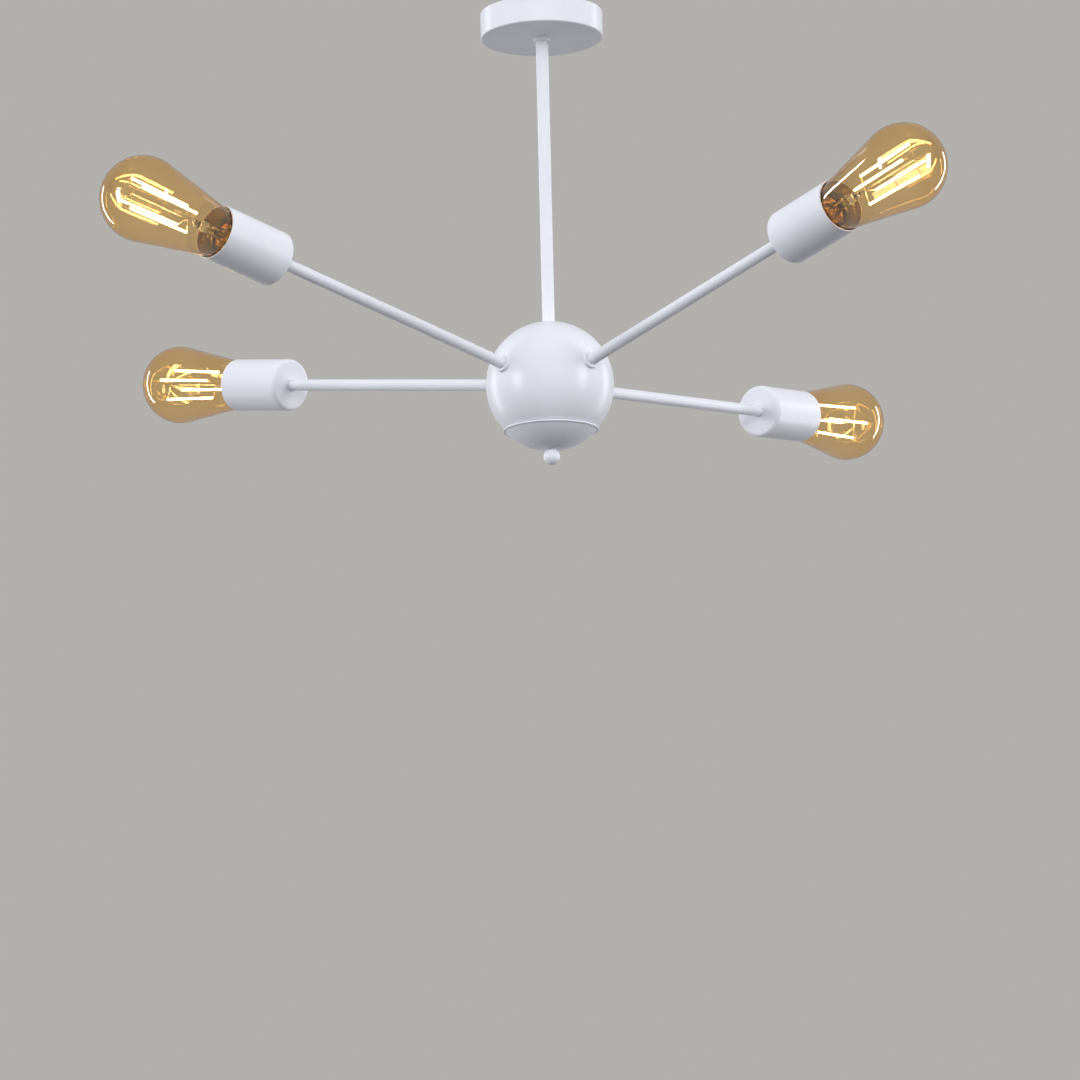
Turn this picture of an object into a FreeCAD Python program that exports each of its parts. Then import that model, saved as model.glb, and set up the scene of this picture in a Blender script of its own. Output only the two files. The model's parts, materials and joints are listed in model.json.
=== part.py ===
import FreeCAD, Part
import math
import os
import re
import sys

import Sketcher

# A four-arm sputnik ceiling light. Millimetres, +Z up. The origin is the middle of the ceiling bracket's
# top face, on the ceiling plane. The hub hangs below it on a straight stem, and each arm runs outwards
# from the hub's centre to a covered lampholder with a filament bulb.
#
# Pieces on an arm are drawn along their own Z axis, measured from the hub's centre, and then turned to the
# arm's azimuth and tilt.

ARMS = ("front_left", "front_right", "back_right", "back_left")

SIZES = {
    # stem and ceiling parts
    "stem_radius": 5.0,
    "stem_bore_radius": 4.0,
    "stem_end_below_ceiling": 2.0,
    "thread_clearance": 0.1,
    "nut_across_flats": 14.0,
    "nut_height": 3.5,
    "bracket_width": 18.0,
    "bracket_sheet": 1.5,
    "bracket_drop": 8.0,
    "bracket_pan_reach": 20.0,
    "bracket_step_reach": 24.0,
    "slot_spacing": 70.0,
    "slot_width": 5.0,
    "slot_length": 13.0,
    "slot_edge": 2.0,
    "canopy_radius": 49.4,
    "canopy_height": 21.0,
    "canopy_wall": 1.0,
    "canopy_edge_round": 1.2,
    "canopy_hole_clearance": 0.5,
    "collar_radius": 7.2,
    "collar_height": 3.0,
    "collar_clearance": 0.08,
    "collar_edge_round": 0.6,
    "setscrew_radius": 1.2,
    "setscrew_length": 1.9,
    "setscrew_hole_clearance": 0.1,
    "terminal_gap": 0.5,
    "terminal_width": 11.0,
    "terminal_depth": 22.0,
    "terminal_height": 10.5,
    "terminal_pole_spacing": 7.0,
    "terminal_screw_radius": 1.6,
    "terminal_screw_sunk": 2.0,
    "wire_hole_radius": 3.2,
    "wire_hole_gap": 0.5,
    # hub
    "canopy_to_hub": 287.7,
    "hub_radius": 51.2,
    "hub_wall": 1.2,
    "seam_depth": 36.0,
    "seam_bevel": 0.5,
    "seam_gap": 0.4,
    "bead_height": 1.3,
    "bead_reach": 1.6,
    "bead_round": 0.5,
    "spigot_wall": 1.0,
    "spigot_clearance": 0.5,
    "spigot_rise": 4.0,
    "bridge_length": 26.0,
    "bridge_width": 12.0,
    "bridge_height": 24.0,
    "bridge_sheet": 1.5,
    "rod_radius": 2.0,
    "rod_clearance": 0.08,
    "rod_into_finial": 7.0,
    "rod_nut_across_flats": 7.0,
    "rod_nut_height": 3.0,
    "thread_runout": 1.0,
    "cap_hole_clearance": 0.3,
    "ball_radius": 6.6,
    "ball_neck_radius": 3.8,
    "ball_drop": 5.6,
    "hub_terminal_radius": 18.0,
    "hub_terminal_height": 14.0,
    "hub_terminal_rise": 1.5,
    # arms
    "arm_radius": 4.7,
    "arm_bore_radius": 3.7,
    "arm_inset": 10.5,
    "arm_thread_length": 11.0,
    "arm_ring_radius": 7.0,
    "arm_ring_height": 2.6,
    "arm_ring_round": 0.8,
    "seat_clearance": 0.05,
    # lampholders and their covers
    "arm_reach": 290.9,
    "cover_radius": 21.6,
    "cover_length": 62.1,
    "cover_wall": 1.0,
    "cover_floor": 1.2,
    "cover_edge_round": 3.0,
    "cover_nut_height": 3.0,
    "holder_radius": 19.3,
    "holder_base_radius": 15.5,
    "holder_base_height": 7.0,
    "holder_entry_depth": 7.5,
    "holder_floor_depth": 16.5,
    "holder_inset": 11.9,
    "shell_radius": 13.35,
    "shell_sheet": 0.5,
    "shell_floor_gap": 6.0,
    "shell_inset": 1.0,
    "contact_width": 6.0,
    "contact_sheet": 0.5,
    "contact_tip_reach": 4.0,
    "contact_bend_reach": 1.5,
    "contact_foot_start": 4.4,
    "contact_foot_reach": 9.5,
    "lead_radius": 0.9,
    "lead_offset": 2.6,
    "lead_bend": 3.4,
    "lead_inset": 1.0,
    "stem_lead_offset": 1.6,
    "stem_lead_spread": 11.0,
    # bulbs
    "bulb_inset": 38.0,
    "bulb_gap": 0.3,
    "screw_cap_radius": 13.05,
    "screw_cap_length": 26.5,
    "screw_cap_sheet": 0.6,
    "screw_cap_cone": 4.0,
    "eyelet_radius": 6.0,
    "eyelet_height": 3.0,
    "button_radius": 4.6,
    "button_height": 1.2,
    "glass_radius": 32.8,
    "glass_wall": 0.8,
    "glass_neck_radius": 12.2,
    "glass_in_cap": 6.0,
    "glass_shoulder_inset": 1.5,
    "glass_shoulder_pull": 5.0,
    "glass_at_rim_radius": 19.8,
    "glass_widest_beyond_rim": 70.5,
    "mount_inset": 3.0,
    "mount_foot_radius": 11.0,
    "mount_foot_height": 1.0,
    "mount_stem_radius": 4.0,
    "mount_flare_step": 2.0,
    "mount_flare_height": 14.0,
    "mount_beyond_rim": 22.0,
    "filament_radius": 0.9,
    "filament_base_beyond_rim": 27.0,
    "filament_length": 56.0,
    "filament_base_spread": 11.5,
    "filament_top_spread": 13.0,
    "filament_turn": 10.0,
    "filament_gap": 0.15,
    "support_wire_radius": 0.5,
    # directions of the arms, anticlockwise from +X seen from above, and their rise from level
    "azimuth_front_left": 223.6,
    "azimuth_front_right": 309.8,
    "azimuth_back_right": 52.8,
    "azimuth_back_left": 138.9,
    "tilt_front_left": 11.3,
    "tilt_front_right": 11.6,
    "tilt_back_right": 5.4,
    "tilt_back_left": 9.8,
}

FORMULAS = {
    "hub_drop": "canopy_height + canopy_to_hub",
    "stem_hole_radius": "stem_radius + thread_clearance",
    "bracket_foot_reach": "slot_spacing / 2 + slot_length / 2 + slot_edge",
    "bracket_pan_top": "bracket_drop - bracket_sheet",
    "terminal_start": "nut_across_flats / sqrt(3) + terminal_gap",
    "wire_exit_drop": "bracket_drop + nut_height + wire_hole_radius + wire_hole_gap",
    "canopy_inner_radius": "canopy_radius - canopy_wall",
    "canopy_hole_radius": "stem_radius + canopy_hole_clearance",
    "canopy_floor_drop": "canopy_height - canopy_wall",
    "collar_bore_radius": "stem_radius + collar_clearance",
    "collar_bottom_drop": "canopy_height + collar_height",
    "hub_inner_radius": "hub_radius - hub_wall",
    "cap_lowering": "seam_gap + bead_height",
    "cap_top_depth": "seam_depth + seam_gap",
    "dome_top_depth": "seam_depth + cap_lowering",
    "bead_radius": "sqrt(hub_radius ^ 2 - seam_depth ^ 2) + bead_reach",
    "cap_hole_radius": "rod_radius + rod_clearance + cap_hole_clearance",
    "spigot_radius": "sqrt(hub_inner_radius ^ 2 - seam_depth ^ 2) - spigot_clearance",
    "spigot_inner_radius": "spigot_radius - spigot_wall",
    "spigot_top_depth": "seam_depth - spigot_rise",
    "bridge_top_rise": "sqrt(hub_inner_radius ^ 2 - (bridge_length ^ 2 + bridge_width ^ 2) / 4) - seat_clearance",
    "bridge_floor_rise": "bridge_top_rise - bridge_height",
    "finial_bore_radius": "rod_radius + rod_clearance",
    "finial_bore_depth": "rod_into_finial + thread_runout",
    "stem_foot_rise": "bridge_top_rise - bridge_sheet - nut_height - thread_runout",
    "stem_length": "hub_drop - stem_foot_rise - stem_end_below_ceiling",
    "arm_start": "hub_inner_radius - arm_inset",
    "arm_end": "arm_reach + arm_thread_length",
    "arm_hole_radius": "arm_radius + thread_clearance",
    "arm_ring_seat": "hub_radius + seat_clearance",
    "arm_ring_top": "hub_radius + arm_ring_height",
    "arm_nut_top": "sqrt(hub_inner_radius ^ 2 - nut_across_flats ^ 2 / 3) - seat_clearance",
    "cover_rim": "arm_reach + cover_length",
    "cover_inner_radius": "cover_radius - cover_wall",
    "cover_floor_top": "arm_reach + cover_floor",
    "holder_start": "cover_floor_top + cover_nut_height + 2 * seat_clearance",
    "holder_waist": "holder_start + holder_base_height",
    "holder_entry_top": "holder_start + holder_entry_depth",
    "holder_floor": "holder_start + holder_floor_depth",
    "holder_top": "cover_rim - holder_inset",
    "holder_cavity_radius": "shell_radius + shell_sheet + seat_clearance",
    "holder_passage_radius": "lead_offset + lead_radius + seat_clearance",
    "shell_outer_radius": "shell_radius + shell_sheet",
    "shell_start": "holder_floor + shell_floor_gap",
    "shell_top": "holder_top - shell_inset",
    "bulb_seat": "cover_rim - bulb_inset",
    "contact_rise": "bulb_seat - bulb_gap - contact_sheet - holder_floor",
    "contact_top": "contact_rise + contact_sheet",
    "cap_bottom": "bulb_seat + eyelet_height",
    "cap_shoulder": "cap_bottom + screw_cap_cone",
    "cap_top": "bulb_seat + screw_cap_length",
    "cap_inner_radius": "screw_cap_radius - screw_cap_sheet",
    "cap_floor_top": "cap_bottom + screw_cap_sheet",
    "cap_inner_shoulder": "cap_shoulder + screw_cap_sheet / 2",
    "button_top": "bulb_seat + button_height",
    "glass_cone_angle": "asin(glass_radius / sqrt(glass_widest_beyond_rim ^ 2 + glass_at_rim_radius ^ 2))"
                        " - atan(glass_at_rim_radius / glass_widest_beyond_rim)",
    "mount_foot": "cap_top - mount_inset",
    "mount_foot_top": "mount_foot + mount_foot_height",
    "mount_flare_middle": "mount_foot + mount_flare_height / 2",
    "mount_flare_top": "mount_foot + mount_flare_height",
    "mount_top": "cover_rim + mount_beyond_rim",
    "mount_middle_radius": "mount_stem_radius + mount_flare_step",
    "filament_base": "cover_rim + filament_base_beyond_rim",
    "filament_top": "filament_base + filament_length",
    "filament_lean": "atan((filament_top_spread - filament_base_spread) / filament_length)",
}

doc = FreeCAD.newDocument("SputnikChandelier")
sheet = doc.addObject("Spreadsheet::Sheet", "Dimensions")
NAMES = list(SIZES) + list(FORMULAS)
for row, (name, size) in enumerate(SIZES.items(), start=1):
    sheet.set("A%d" % row, name)
    sheet.set("B%d" % row, str(size))
    sheet.setAlias("B%d" % row, name)
for row, (name, rule) in enumerate(FORMULAS.items(), start=len(SIZES) + 1):
    sheet.set("A%d" % row, name)
    sheet.set("B%d" % row, "=" + rule)
    sheet.setAlias("B%d" % row, name)
doc.recompute()

parts = []


def bound(rule):
    """A rule in the sheet's names, written so that another object can follow it."""
    return re.sub("[a-z_]+", lambda word: "Dimensions." + word[0] if word[0] in NAMES else word[0], rule)


def value(name):
    """The number in a named cell; a leading minus sign changes its sign."""
    if name == "0":
        return 0.0
    return -float(sheet.get(name[1:])) if name.startswith("-") else float(sheet.get(name))


def place(piece, across="0", along="0", up="0", yaw="0", pitch="0", roll="0"):
    """Set a piece's place and turn from rules."""
    rule = "placement(vector(%s; %s; %s); rotation(%s; %s; %s))" % (across, along, up, yaw, pitch, roll)
    piece.setExpression("Placement", bound(rule))


def place_on_arm(piece, arm):
    """Turn a piece that is drawn along Z from the hub's centre to the direction of its arm."""
    place(piece, up="-hub_drop", yaw="azimuth_" + arm, pitch="90 - tilt_" + arm)


def keep(piece, label):
    """Name a finished sub-part, which is one node of the assembly."""
    piece.Label = label
    parts.append(piece)
    return piece


def origin_plane(body, role):
    """One of a body's own base planes."""
    return [plane for plane in body.Origin.OriginFeatures if plane.Role == role][0]


def pin_down(sketch, edge, point, across, up):
    """Fix a sketch point by the named distances from the sketch's origin; "arc" leaves one to an arc."""
    for kind, name, axis in (("DistanceX", across, -2), ("DistanceY", up, -1)):
        if name in ("outer", "upper", "lower"):
            continue
        if name == "0":
            sketch.addConstraint(Sketcher.Constraint("PointOnObject", edge, point, axis))
            continue
        index = sketch.addConstraint(Sketcher.Constraint(kind, -1, 1, edge, point, value(name)))
        sketch.setExpression("Constraints[%d]" % index, bound(name))


def corner_point(corner, arc):
    """Work out where a corner lies; on an arc, outer, upper and lower say which side of its centre."""
    across, up = corner
    if across == "outer":
        rise = value(up) - value(arc[0])
        return FreeCAD.Vector(math.sqrt(value(arc[1]) ** 2 - rise ** 2), value(up), 0)
    if up in ("upper", "lower"):
        rise = math.sqrt(value(arc[1]) ** 2 - value(across) ** 2)
        return FreeCAD.Vector(value(across), value(arc[0]) + (rise if up == "upper" else -rise), 0)
    return FreeCAD.Vector(value(across), value(up), 0)


def outline(body, name, corners, arcs=None, role="XZ_Plane"):
    """A closed sketch through corners named by the sheet. arcs maps an edge's number to the height of its
    centre on the upright axis and its radius."""
    arcs = arcs or {}
    count = len(corners)
    sketch = body.newObject("Sketcher::SketchObject", name)
    sketch.AttachmentSupport = [(origin_plane(body, role), "")]
    sketch.MapMode = "FlatFace"
    points = [corner_point(corner, arcs.get(i) or arcs.get((i - 1) % count)) for i, corner in enumerate(corners)]
    ends = []
    for i, start in enumerate(points):
        finish = points[(i + 1) % count]
        if i not in arcs:
            sketch.addGeometry(Part.LineSegment(start, finish), False)
            ends.append((1, 2))
            continue
        centre = FreeCAD.Vector(0, value(arcs[i][0]), 0)
        first, last = [math.atan2(point.y - centre.y, point.x - centre.x) for point in (start, finish)]
        ends.append((1, 2) if last > first else (2, 1))
        circle = Part.Circle(centre, FreeCAD.Vector(0, 0, 1), value(arcs[i][1]))
        sketch.addGeometry(Part.ArcOfCircle(circle, min(first, last), max(first, last)), False)
    for i in range(count):
        following = (i + 1) % count
        sketch.addConstraint(Sketcher.Constraint("Coincident", i, ends[i][1], following, ends[following][0]))
    for i, (across, up) in enumerate(corners):
        pin_down(sketch, i, ends[i][0], across, up)
    for i, (centre, radius) in arcs.items():
        pin_down(sketch, i, 3, "0", centre)
        index = sketch.addConstraint(Sketcher.Constraint("Radius", i, value(radius)))
        sketch.setExpression("Constraints[%d]" % index, bound(radius))
    return sketch


def turned(name, corners, arcs=None):
    """A body turned about its own Z axis from half of its section."""
    body = doc.addObject("PartDesign::Body", name)
    sketch = outline(body, name + "_section", corners, arcs)
    turn = body.newObject("PartDesign::Revolution", name + "_turn")
    turn.Profile = sketch
    turn.ReferenceAxis = (sketch, ["V_Axis"])
    turn.Angle = 360
    return body


def folded(name, corners, width):
    """A body of sheet metal, drawn from the side and as wide as the named size."""
    body = doc.addObject("PartDesign::Body", name)
    sketch = outline(body, name + "_side", corners)
    pad = body.newObject("PartDesign::Pad", name + "_sheet")
    pad.Profile = sketch
    pad.Midplane = True
    pad.setExpression("Length", bound(width))
    return body


def soften(body, radius, at_radius, at_height):
    """Round the ring-shaped edges of a turned body that lie at a radius and a height."""
    doc.recompute()
    rings = []
    for i, edge in enumerate(body.Tip.Shape.Edges, start=1):
        if not isinstance(edge.Curve, Part.Circle):
            continue
        level = abs(edge.Curve.Center.z - value(at_height)) < 0.01
        if level and abs(edge.Curve.Radius - value(at_radius)) < 0.01:
            rings.append("Edge%d" % i)
    base = body.Tip
    fillet = body.newObject("PartDesign::Fillet", body.Name + "_round")
    fillet.Base = (base, rings)
    fillet.setExpression("Radius", bound(radius))
    return body


def cylinder(name, radius, height):
    """A cylinder whose sizes follow rules."""
    piece = doc.addObject("Part::Cylinder", name)
    piece.setExpression("Radius", bound(radius))
    piece.setExpression("Height", bound(height))
    return piece


def block(name, length, width, height):
    """A box whose sizes follow rules."""
    piece = doc.addObject("Part::Box", name)
    piece.setExpression("Length", bound(length))
    piece.setExpression("Width", bound(width))
    piece.setExpression("Height", bound(height))
    return piece


def cut(name, base, tools):
    """What is left of a base when the tools are taken out of it."""
    tool = tools[0]
    if len(tools) > 1:
        tool = doc.addObject("Part::MultiFuse", name + "_tools")
        tool.Shapes = tools
    piece = doc.addObject("Part::Cut", name)
    piece.Base = base
    piece.Tool = tool
    return piece


def group(name, pieces):
    """Like pieces that share a node, each a solid of its own."""
    compound = doc.addObject("Part::Compound", name)
    compound.Links = pieces
    return compound


def hex_nut(name, flats, height, bore):
    """A plain hexagon nut standing on its own origin."""
    prism = doc.addObject("Part::Prism", name + "_hexagon")
    prism.Polygon = 6
    prism.setExpression("Circumradius", bound("%s / sqrt(3)" % flats))
    prism.setExpression("Height", bound(height))
    return cut(name, prism, [cylinder(name + "_bore", bore, height)])


def make_bracket():
    """The ceiling strap: two feet on the ceiling, a dropped middle with the stem's hole, and a slot a foot."""
    blank = folded("bracket_blank", [
        ("-bracket_foot_reach", "0"),
        ("-bracket_pan_reach", "0"),
        ("-bracket_pan_reach", "-bracket_pan_top"),
        ("bracket_pan_reach", "-bracket_pan_top"),
        ("bracket_pan_reach", "0"),
        ("bracket_foot_reach", "0"),
        ("bracket_foot_reach", "-bracket_sheet"),
        ("bracket_step_reach", "-bracket_sheet"),
        ("bracket_step_reach", "-bracket_drop"),
        ("-bracket_step_reach", "-bracket_drop"),
        ("-bracket_step_reach", "-bracket_sheet"),
        ("-bracket_foot_reach", "-bracket_sheet"),
    ], "bracket_width")
    tools = [cylinder("bracket_stem_hole", "stem_hole_radius", "bracket_drop")]
    place(tools[0], up="-bracket_drop")
    for side, sign in (("left", "-"), ("right", "")):
        middle = sign + "slot_spacing / 2"
        straight = "(slot_length - slot_width) / 2"
        run = block("slot_run_" + side, "slot_length - slot_width", "slot_width", "bracket_drop")
        place(run, "%s - %s" % (middle, straight), "-slot_width / 2", "-bracket_drop")
        tools.append(run)
        for end in "-+":
            round_end = cylinder("slot_end_" + side, "slot_width / 2", "bracket_drop")
            place(round_end, "%s %s %s" % (middle, end, straight), "0", "-bracket_drop")
            tools.append(round_end)
    keep(cut("bracket", blank, tools), "mounting_bracket")


def make_stem():
    """The hollow stem, threaded into the bracket and the hub, with a side hole for its leads."""
    tube = cylinder("stem_outside", "stem_radius", "stem_length")
    bore = cylinder("stem_bore", "stem_bore_radius", "stem_length")
    for piece in (tube, bore):
        place(piece, up="-stem_end_below_ceiling - stem_length")
    hole = cylinder("stem_wire_hole", "wire_hole_radius", "stem_radius + 1")
    place(hole, up="-wire_exit_drop", pitch="90")
    keep(cut("stem", tube, [bore, hole]), "stem_tube")
    nuts = []
    for name, up in (("upper", "-bracket_pan_top"), ("lower", "-bracket_drop - nut_height")):
        nuts.append(hex_nut("bracket_nut_" + name, "nut_across_flats", "nut_height", "stem_hole_radius"))
        place(nuts[-1], up=up)
    keep(group("bracket_nuts", nuts), "bracket_nuts")


def make_canopy():
    """The round ceiling cover, open upwards, with the collar and grub screw that hold it on the stem."""
    canopy = turned("canopy", [
        ("canopy_hole_radius", "-canopy_height"),
        ("canopy_radius", "-canopy_height"),
        ("canopy_radius", "0"),
        ("canopy_inner_radius", "0"),
        ("canopy_inner_radius", "-canopy_floor_drop"),
        ("canopy_hole_radius", "-canopy_floor_drop"),
    ])
    keep(soften(canopy, "canopy_edge_round", "canopy_radius", "-canopy_height"), "canopy")
    ring = turned("canopy_ring", [
        ("collar_bore_radius", "-collar_bottom_drop"),
        ("collar_radius", "-collar_bottom_drop"),
        ("collar_radius", "-canopy_height"),
        ("collar_bore_radius", "-canopy_height"),
    ])
    soften(ring, "collar_edge_round", "collar_radius", "-collar_bottom_drop")
    middle = "-canopy_height - collar_height / 2"
    hole = cylinder("setscrew_hole", "setscrew_radius + setscrew_hole_clearance", "collar_radius")
    place(hole, up=middle, yaw="90", pitch="90")
    keep(cut("canopy_collar", ring, [hole]), "canopy_collar")
    screw = cylinder("collar_setscrew", "setscrew_radius", "setscrew_length")
    place(screw, along="collar_bore_radius + collar_clearance", up=middle, yaw="90", pitch="90")
    keep(screw, "collar_setscrew")


def make_terminals():
    """The terminal strip under the bracket, with a screw at each end of its three poles."""
    screws = []
    pockets = []
    for row in (-1, 0, 1):
        for side, across in (("in", "0.25"), ("out", "0.75")):
            name = "pole_%d_%s" % (row + 2, side)
            place_rule = ("terminal_start + %s * terminal_width" % across, "%d * terminal_pole_spacing" % row)
            pocket = cylinder(name + "_well", "terminal_screw_radius + thread_clearance", "terminal_height / 2")
            place(pocket, *place_rule, "-bracket_drop - terminal_height")
            pockets.append(pocket)
            screw = cylinder(name + "_screw", "terminal_screw_radius", "terminal_height / 2 - terminal_screw_sunk")
            place(screw, *place_rule, "-bracket_drop - terminal_height + terminal_screw_sunk")
            screws.append(screw)
    strip = block("terminal_strip", "terminal_width", "terminal_depth", "terminal_height")
    place(strip, "terminal_start", "-terminal_depth / 2", "-bracket_drop - terminal_height")
    keep(cut("terminal", strip, pockets), "terminal_block")
    keep(group("terminal_screw_set", screws), "terminal_screws")


def make_hub():
    """The hollow ball with its stem and arm holes and an opening at the bottom."""
    ball = turned("hub_ball", [
        ("stem_hole_radius", "upper"),
        ("outer", "-seam_depth"),
        ("outer", "-seam_depth"),
        ("stem_hole_radius", "upper"),
    ], {0: ("0", "hub_radius"), 2: ("0", "hub_inner_radius")})
    doc.recompute()
    rim = [
        "Edge%d" % i
        for i, edge in enumerate(ball.Tip.Shape.Edges, start=1)
        if isinstance(edge.Curve, Part.Circle) and abs(edge.BoundBox.ZMax + value("seam_depth")) < 0.01
        and abs(edge.BoundBox.ZMin + value("seam_depth")) < 0.01
        and edge.Curve.Radius > value("spigot_radius") + value("hub_wall")
    ]
    base = ball.Tip
    bevel = ball.newObject("PartDesign::Chamfer", "hub_rim_bevel")
    bevel.Base = (base, rim)
    bevel.setExpression("Size", bound("seam_bevel"))
    place(ball, up="-hub_drop")
    holes = []
    for arm in ARMS:
        holes.append(cylinder("hub_hole_" + arm, "arm_hole_radius", "hub_radius + 1"))
        place_on_arm(holes[-1], arm)
    keep(cut("hub", ball, holes), "hub_shell")


def make_hub_cap():
    """The ball's removable bottom with its beaded rim, the spigot that centres it, and its ball finial."""
    cap = turned("hub_bottom", [
        ("outer", "-dome_top_depth"),
        ("cap_hole_radius", "lower"),
        ("cap_hole_radius", "lower"),
        ("spigot_inner_radius", "lower"),
        ("spigot_inner_radius", "-spigot_top_depth"),
        ("spigot_radius", "-spigot_top_depth"),
        ("spigot_radius", "-cap_top_depth"),
        ("bead_radius", "-cap_top_depth"),
        ("bead_radius", "-dome_top_depth"),
    ], {0: ("-cap_lowering", "hub_radius"), 2: ("-cap_lowering", "hub_inner_radius")})
    for level in ("-cap_top_depth", "-dome_top_depth"):
        soften(cap, "bead_round", "bead_radius", level)
    place(cap, up="-hub_drop")
    keep(cap, "hub_cap")
    finial = turned("finial", [
        ("finial_bore_radius", "0"),
        ("ball_neck_radius", "0"),
        ("ball_neck_radius", "upper"),
        ("0", "lower"),
        ("0", "-finial_bore_depth"),
        ("finial_bore_radius", "-finial_bore_depth"),
    ], {2: ("-ball_drop", "ball_radius")})
    place(finial, up="-hub_drop - cap_lowering - hub_radius - seat_clearance")
    keep(finial, "cap_finial")


def make_hub_inside():
    """What the ball hides: the bridge under the stem's nut, the finial's rod, its nuts and the terminal."""
    loop = block("bridge_loop", "bridge_length", "bridge_width", "bridge_height")
    place(loop, "-bridge_length / 2", "-bridge_width / 2", "-hub_drop + bridge_floor_rise")
    window = block("bridge_window", "bridge_length - 2 * bridge_sheet", "bridge_width + 2",
                   "bridge_height - 2 * bridge_sheet")
    place(window, "bridge_sheet - bridge_length / 2", "-bridge_width / 2 - 1",
          "-hub_drop + bridge_floor_rise + bridge_sheet")
    stem_hole = cylinder("bridge_stem_hole", "stem_hole_radius", "bridge_sheet * 2")
    place(stem_hole, up="-hub_drop + bridge_top_rise - bridge_sheet * 1.5")
    rod_hole = cylinder("bridge_rod_hole", "finial_bore_radius", "bridge_sheet * 2")
    place(rod_hole, up="-hub_drop + bridge_floor_rise - bridge_sheet / 2")
    keep(cut("bridge", loop, [window, stem_hole, rod_hole]), "hub_bridge")
    stem_nut = hex_nut("hub_stem_nut", "nut_across_flats", "nut_height", "stem_hole_radius")
    place(stem_nut, up="-hub_drop + bridge_top_rise - bridge_sheet - nut_height")
    keep(stem_nut, "hub_stem_nut")
    above = "bridge_floor_rise + bridge_sheet + rod_nut_height + thread_runout"
    below = "cap_lowering + hub_radius + rod_into_finial"
    rod = cylinder("rod", "rod_radius", "%s + %s" % (above, below))
    place(rod, up="-hub_drop - (%s)" % below)
    keep(rod, "finial_rod")
    disc_bottom = "-hub_drop + hub_terminal_rise - hub_terminal_height / 2"
    nuts = []
    for name, up in (
        ("top", "-hub_drop + bridge_floor_rise + bridge_sheet"),
        ("bridge", "-hub_drop + bridge_floor_rise - rod_nut_height"),
        ("over", disc_bottom + " + hub_terminal_height"),
        ("under", disc_bottom + " - rod_nut_height"),
    ):
        nuts.append(hex_nut("rod_nut_" + name, "rod_nut_across_flats", "rod_nut_height", "finial_bore_radius"))
        place(nuts[-1], up=up)
    keep(group("rod_nut_set", nuts), "rod_nuts")
    disc = cylinder("hub_terminal_disc", "hub_terminal_radius", "hub_terminal_height")
    bore = cylinder("hub_terminal_bore", "finial_bore_radius", "hub_terminal_height")
    for piece in (disc, bore):
        place(piece, up=disc_bottom)
    keep(cut("hub_terminal", disc, [bore]), "hub_terminal")


def rounded_path(points, bend):
    """A wire through points in which an arc replaces each corner."""
    edges = []
    start = points[0]
    for before, corner, after in zip(points, points[1:], points[2:]):
        back = (before - corner).normalize()
        ahead = (after - corner).normalize()
        half_turn = (math.pi - back.getAngle(ahead)) / 2
        reach = bend * math.tan(half_turn)
        arc_start = corner + back * reach
        arc_end = corner + ahead * reach
        middle = corner + (back + ahead).normalize() * (bend / math.cos(half_turn) - bend)
        edges.append(Part.LineSegment(start, arc_start).toShape())
        edges.append(Part.Arc(arc_start, middle, arc_end).toShape())
        start = arc_end
    edges.append(Part.LineSegment(start, points[-1]).toShape())
    return Part.Wire(edges)


def make_stem_leads():
    """Two insulated leads: up from the hub's terminal, in at the stem's foot, out at its side hole."""
    hub = -value("hub_drop")
    disc_top = hub + value("hub_terminal_rise") + value("hub_terminal_height") / 2
    stem_foot = -value("stem_end_below_ceiling") - value("stem_length")
    crossing = stem_foot - value("lead_radius") - value("lead_bend")
    leads = []
    for side in (-1, 1):
        spread = side * value("stem_lead_spread")
        inside = side * value("stem_lead_offset")
        path = rounded_path([
            FreeCAD.Vector(0, spread, disc_top),
            FreeCAD.Vector(0, spread, crossing),
            FreeCAD.Vector(0, inside, crossing),
            FreeCAD.Vector(0, inside, -value("wire_exit_drop")),
            FreeCAD.Vector(value("terminal_start"), inside, -value("wire_exit_drop")),
        ], value("lead_bend"))
        ring = Part.Wire([Part.makeCircle(value("lead_radius"), FreeCAD.Vector(0, spread, disc_top))])
        leads.append(path.makePipeShell([ring], True, False))
        volume = math.pi * value("lead_radius") ** 2 * path.Length
        print("stem lead", round(path.Length, 1), "mm, volume ratio", round(leads[-1].Volume / volume, 4))
    piece = doc.addObject("Part::Feature", "stem_lead_pair")
    piece.Shape = Part.makeCompound(leads)
    keep(piece, "stem_leads")


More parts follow.
